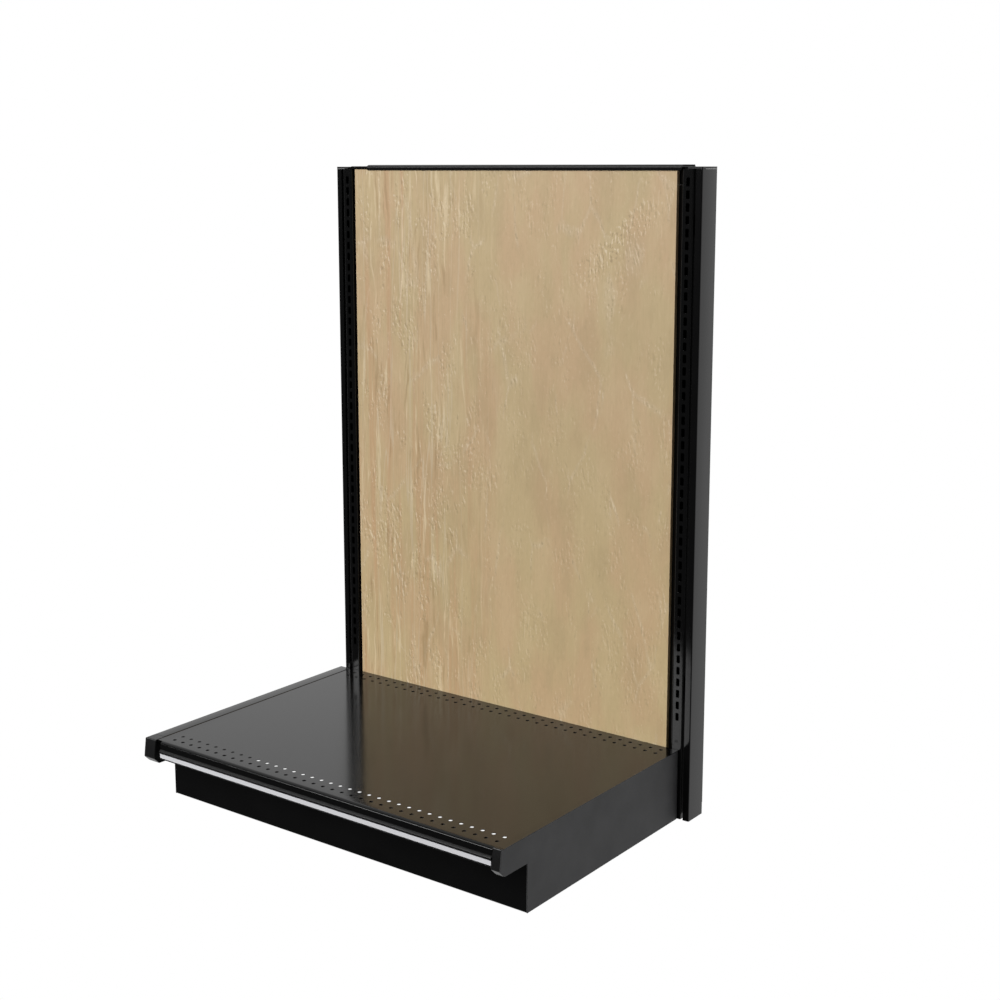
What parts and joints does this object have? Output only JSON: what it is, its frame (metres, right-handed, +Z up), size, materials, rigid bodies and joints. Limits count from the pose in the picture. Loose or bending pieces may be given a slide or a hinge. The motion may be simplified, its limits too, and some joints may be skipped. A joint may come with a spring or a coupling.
{
  "type": "gondola shelving unit",
  "caption": "Single-sided wall bay: slotted steel uprights, plywood back panel, perforated base deck with a price channel, and a kick plate.",
  "frame": {"origin": "centre of the bounding box's footprint, on the floor", "axes": "+X to the shopper's right, -Y towards the shopper, +Z up"},
  "size_m": [0.9952, 0.6916, 1.3805],
  "materials": {
    "black_powder_coat": "smooth semi-gloss powder coat",
    "black_plastic": "fine moulded grain",
    "plywood": "clear satin",
    "label_stock": "satin",
    "zinc": "bright zinc plate"
  },
  "bodies": {
    "frame": {"back_panel": "plywood", "base_bracket_left": "black_powder_coat", "base_bracket_right": "black_powder_coat", "base_end_filler": "black_powder_coat", "bottom_rail": "black_powder_coat", "bracket_bolt_left_1": "zinc", "bracket_bolt_left_2": "zinc", "bracket_bolt_right_1": "zinc", "bracket_bolt_right_2": "zinc", "bracket_end_plate_left": "black_powder_coat", "bracket_end_plate_right": "black_powder_coat", "bracket_foot_left": "black_powder_coat", "bracket_foot_right": "black_powder_coat", "end_trim_left": "black_powder_coat", "end_trim_right": "black_powder_coat", "filler_nose_cap": "black_plastic", "filler_screw_1": "zinc", "filler_screw_2": "zinc", "foot_plug_left": "zinc", "foot_plug_right": "zinc", "kick_clip_left": "zinc", "kick_clip_right": "zinc", "kick_plate": "black_powder_coat", "leveler_nut_front_left": "zinc", "leveler_nut_front_right": "zinc", "leveler_nut_rear_left": "zinc", "leveler_nut_rear_right": "zinc", "mid_rail": "black_powder_coat", "nose_cap_right": "black_plastic", "panel_channel_left": "black_powder_coat", "panel_channel_right": "black_powder_coat", "rail_end_left": "black_powder_coat", "rail_end_right": "black_powder_coat", "top_cap_left": "black_plastic", "top_cap_right": "black_plastic", "top_rail": "black_powder_coat", "trim_clip_high_left": "black_powder_coat", "trim_clip_high_right": "black_powder_coat", "trim_clip_low_left": "black_powder_coat", "trim_clip_low_right": "black_powder_coat", "upright_left": "black_powder_coat", "upright_right": "black_powder_coat"},
    "deck": {"deck_edge_angle_left": "black_powder_coat", "deck_edge_angle_right": "black_powder_coat", "deck_nose": "black_powder_coat", "deck_panel": "black_powder_coat", "deck_rear_angle": "black_powder_coat", "deck_stiffener_1": "black_powder_coat", "deck_stiffener_2": "black_powder_coat", "price_channel": "black_plastic", "label_insert": "label_stock"},
    "leveler_front_left": {"leveler_front_left": "zinc"},
    "leveler_front_right": {"leveler_front_right": "zinc"},
    "leveler_rear_left": {"leveler_rear_left": "zinc"},
    "leveler_rear_right": {"leveler_rear_right": "zinc"}
  },
  "joints": [
    {"name": "deck_lift", "type": "slide", "parent": "frame", "child": "deck", "axis": [0, 0, 1], "range_m": [0, 0.06]},
    {"name": "leveler_front_left_travel", "type": "slide", "parent": "frame", "child": "leveler_front_left", "axis": [0, 0, -1], "range_m": [0, 0.02]},
    {"name": "leveler_front_right_travel", "type": "slide", "parent": "frame", "child": "leveler_front_right", "axis": [0, 0, -1], "range_m": [0, 0.02]},
    {"name": "leveler_rear_left_travel", "type": "slide", "parent": "frame", "child": "leveler_rear_left", "axis": [0, 0, -1], "range_m": [0, 0.02]},
    {"name": "leveler_rear_right_travel", "type": "slide", "parent": "frame", "child": "leveler_rear_right", "axis": [0, 0, -1], "range_m": [0, 0.02]}
  ]
}
